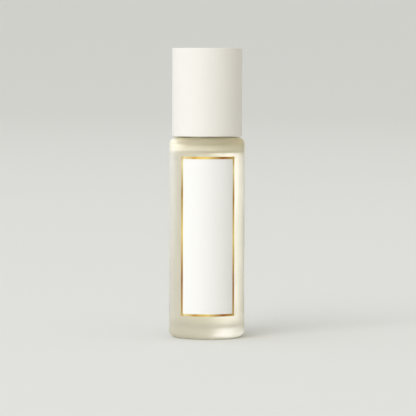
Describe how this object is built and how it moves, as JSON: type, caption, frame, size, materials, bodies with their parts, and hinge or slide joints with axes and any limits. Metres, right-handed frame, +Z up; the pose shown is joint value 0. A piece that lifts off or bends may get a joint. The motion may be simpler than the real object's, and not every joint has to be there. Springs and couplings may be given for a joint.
{
  "type": "roll-on bottle",
  "caption": "Slim frosted-glass roll-on perfume bottle with a steel ball in a push-in fitment, a straight white screw cap and a bare framed front label.",
  "frame": {"origin": "centre of the base, on the surface that the bottle stands on", "axes": "+Z up along the bottle's axis; the label faces -Y"},
  "size_m": [0.0205, 0.0206, 0.0785],
  "materials": {
    "frosted_glass": "acid-frosted satin",
    "fragrance": "clear pale-yellow liquid",
    "fitment_plastic": "natural polyethylene",
    "ball_steel": "polished stainless steel",
    "cap_white": "satin moulded",
    "liner_plastic": "as moulded",
    "seal_plastic": "soft polyethylene",
    "label_white": "satin white film",
    "gold_foil": "hot-stamped gold foil"
  },
  "bodies": {
    "bottle": {"glass_bottle": "frosted_glass", "fragrance_fill": "fragrance", "roller_housing": "fitment_plastic", "label_film": "label_white", "label_border": "gold_foil"},
    "ball": {"roller_ball": "ball_steel"},
    "cap_seal": {"cap_seal_disc": "seal_plastic"},
    "cap": {"cap_shell": "cap_white", "cap_liner": "liner_plastic"}
  },
  "joints": [
    {"name": "ball_roll", "type": "hinge", "parent": "bottle", "child": "ball", "pos_m": [0, 0, 0.07015], "axis": [1, 0, 0], "continuous": true},
    {"name": "cap_lift", "type": "slide", "parent": "bottle", "child": "cap_seal", "axis": [0, 0, 1], "range_m": [0, 0.0225]},
    {"name": "cap_turn", "type": "hinge", "parent": "cap_seal", "child": "cap", "pos_m": [0, 0, 0.06], "axis": [0, 0, 1], "range_deg": [0, 2700]}
  ],
  "couplings": [
    {"joint": "cap_turn", "follows": "cap_lift", "rad_per_m": 2094.4}
  ]
}
